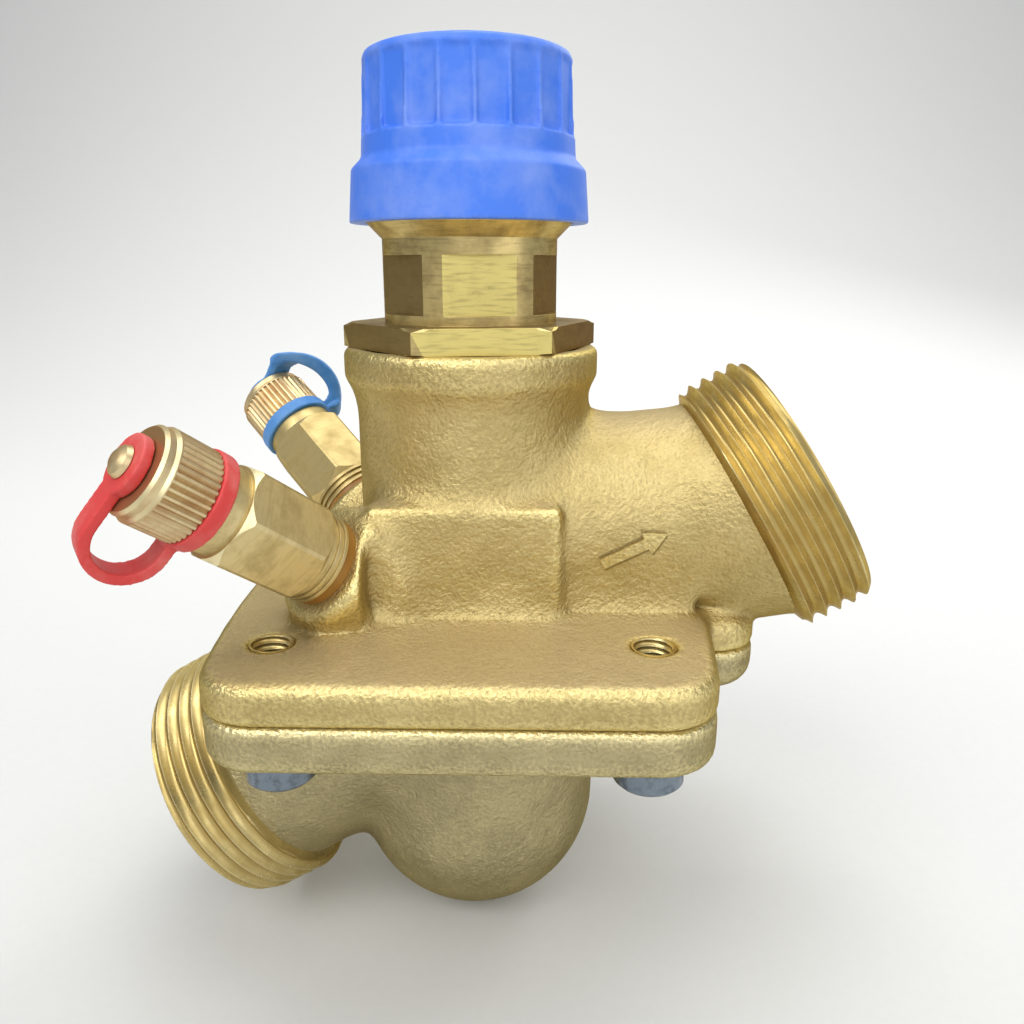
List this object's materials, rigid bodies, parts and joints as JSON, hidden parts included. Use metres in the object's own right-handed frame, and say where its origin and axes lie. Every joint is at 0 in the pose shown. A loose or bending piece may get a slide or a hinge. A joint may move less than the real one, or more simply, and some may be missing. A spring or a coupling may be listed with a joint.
{
  "type": "pressure independent control valve",
  "caption": "Brass pressure independent control valve: slanted threaded ports, bolted diaphragm flange with bowl, stem bonnet under a blue hand cap, capped pressure test points.",
  "frame": {"origin": "middle of the inlet's sealing face", "axes": "+Z along the stem towards its cap, +X towards the outlet, water runs up the slant 30 degrees above +X; the test points lie on the -X side, red at -Y"},
  "size_m": [0.1152, 0.0804, 0.1351],
  "materials": {
    "cast_brass": "sand-cast, dull",
    "machined_brass": "turned, bright",
    "zinc_steel": "zinc plated",
    "spring_steel": "drawn wire",
    "black_rubber": "matte",
    "inner_plastic": "moulded",
    "amber_seal": "fibre ring",
    "blue_plastic": "moulded",
    "red_rubber": "moulded",
    "blue_rubber": "moulded"
  },
  "bodies": {
    "valve": {"upper_body": "cast_brass", "lower_cover": "cast_brass", "flange_screws": "zinc_steel", "diaphragm": "black_rubber", "regulator_spring": "spring_steel", "seat_insert": "inner_plastic", "stem_spring": "spring_steel", "bonnet": "machined_brass", "bonnet_o_ring": "black_rubber", "gland_nut": "machined_brass", "stem_o_ring": "black_rubber", "red_test_seal": "amber_seal", "red_test_body": "machined_brass", "red_test_core": "black_rubber", "blue_test_seal": "amber_seal", "blue_test_body": "machined_brass", "blue_test_core": "black_rubber"},
    "stem": {"stem": "spring_steel", "control_plug": "machined_brass", "plug_seal": "black_rubber"},
    "cap": {"protection_cap": "blue_plastic"},
    "regulator": {"regulator_plug": "inner_plastic", "diaphragm_plate": "zinc_steel"},
    "red_strap_body": {"red_strap": "red_rubber"},
    "red_cap": {"red_test_cap": "machined_brass"},
    "blue_strap_body": {"blue_strap": "blue_rubber"},
    "blue_cap": {"blue_test_cap": "machined_brass"}
  },
  "joints": [
    {"name": "stem_slide", "type": "slide", "parent": "valve", "child": "stem", "axis": [0, 0, 1], "range_m": [0, 0.004], "deforming": ["stem_spring"]},
    {"name": "cap_turn", "type": "hinge", "parent": "stem", "child": "cap", "pos_m": [0.0433, 0, 0.0992], "axis": [0, 0, 1], "range_deg": [0, 961]},
    {"name": "regulator_slide", "type": "slide", "parent": "valve", "child": "regulator", "axis": [0, 0, 1], "range_m": [0, 0.002], "stiffness_N_per_m": 1500, "springref_m": -0.004, "deforming": ["regulator_spring", "diaphragm"]},
    {"name": "red_strap_slide", "type": "slide", "parent": "valve", "child": "red_strap_body", "axis": [-0.5795, -0.5675, 0.585], "range_m": [0, 0.004]},
    {"name": "red_cap_turn", "type": "hinge", "parent": "red_strap_body", "child": "red_cap", "pos_m": [0.00894, -0.03365, 0.06129], "axis": [-0.5795, -0.5675, 0.585], "range_deg": [0, 1441]},
    {"name": "blue_strap_slide", "type": "slide", "parent": "valve", "child": "blue_strap_body", "axis": [-0.6511, 0.4836, 0.585], "range_m": [0, 0.004]},
    {"name": "blue_cap_turn", "type": "hinge", "parent": "blue_strap_body", "child": "blue_cap", "pos_m": [0.00599, 0.02771, 0.06012], "axis": [-0.6511, 0.4836, 0.585], "range_deg": [0, 1441]}
  ],
  "couplings": [
    {"joint": "cap_turn", "follows": "stem_slide", "rad_per_m": 4188.8},
    {"joint": "red_cap_turn", "follows": "red_strap_slide", "rad_per_m": 6283.2},
    {"joint": "blue_cap_turn", "follows": "blue_strap_slide", "rad_per_m": 6283.2}
  ]
}
